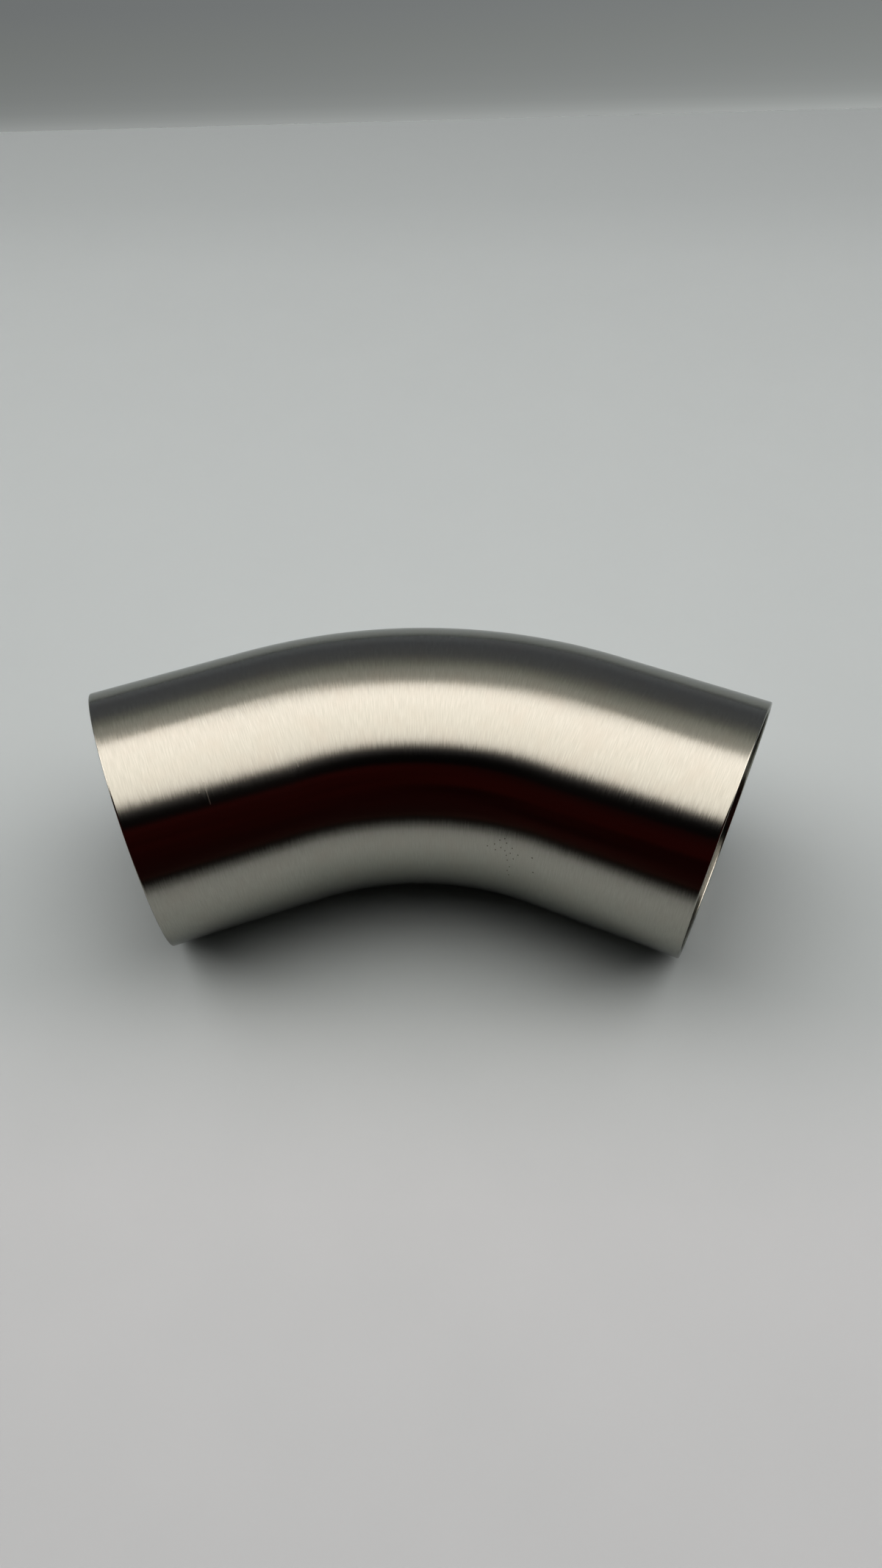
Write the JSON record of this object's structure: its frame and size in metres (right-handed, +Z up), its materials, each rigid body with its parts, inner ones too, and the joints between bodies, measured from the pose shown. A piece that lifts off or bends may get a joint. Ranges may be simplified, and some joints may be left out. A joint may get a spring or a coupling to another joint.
{
  "type": "forty-five degree pipe bend",
  "caption": "Thin-walled stainless steel tube bend that turns forty-five degrees, with a straight square-cut stub at each end for welding or clamping to tube.",
  "frame": {"origin": "on the surface that the bend lies on, under the middle of its bounding box", "axes": "+Z up; +X from the left end to the right end; the outside of the bend faces +Y, and each end points outwards and 22.5 degrees towards -Y"},
  "size_m": [0.1992, 0.099, 0.0762],
  "materials": {
    "brushed_stainless": "satin, with a fine grain brushed round the tube"
  },
  "bodies": {
    "root": {"pipe_bend": "brushed_stainless"}
  },
  "joints": []
}
